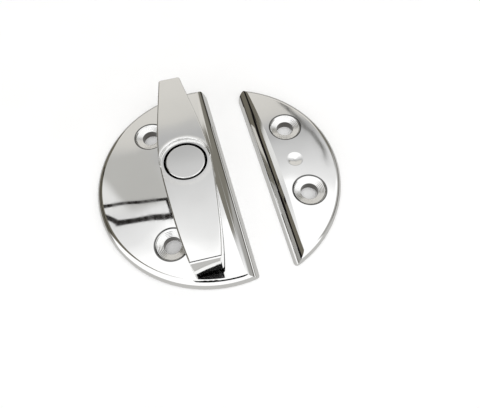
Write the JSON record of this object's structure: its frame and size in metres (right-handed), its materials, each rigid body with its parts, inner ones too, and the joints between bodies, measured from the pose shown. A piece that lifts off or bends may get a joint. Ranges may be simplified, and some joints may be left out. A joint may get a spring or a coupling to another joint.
{
  "type": "twist catch",
  "caption": "Round two-part twist catch in polished stainless steel: a turn handle on the larger plate swings its arm across the split over a smaller keeper plate.",
  "frame": {"origin": "half-way between the two screw holes of the larger plate, in the mounting plane at the back of both plates", "axes": "+Z out of the mounting surface, parallel with the pivot axis, which stands at X = 9.45 mm; +X across the split to the keeper, +Y along the split; the handle is stored open, lying along the split"},
  "size_m": [0.0749, 0.0704, 0.0146],
  "materials": {
    "polished_steel": "mirror polished cast stainless steel",
    "spring_steel": "drawn stainless wire",
    "washer_steel": "stamped stainless sheet"
  },
  "bodies": {
    "base": {"base_plate": "polished_steel", "keeper_plate": "polished_steel", "pivot_stud": "polished_steel", "hub_spring": "spring_steel", "thrust_washer": "washer_steel", "back_washer": "washer_steel", "retaining_clip": "washer_steel"},
    "handle": {"turn_handle": "polished_steel"}
  },
  "joints": [
    {"name": "handle_turn", "type": "hinge", "parent": "base", "child": "handle", "pos_m": [0.00945, 0, 0], "axis": [0, 0, 1], "continuous": true}
  ]
}
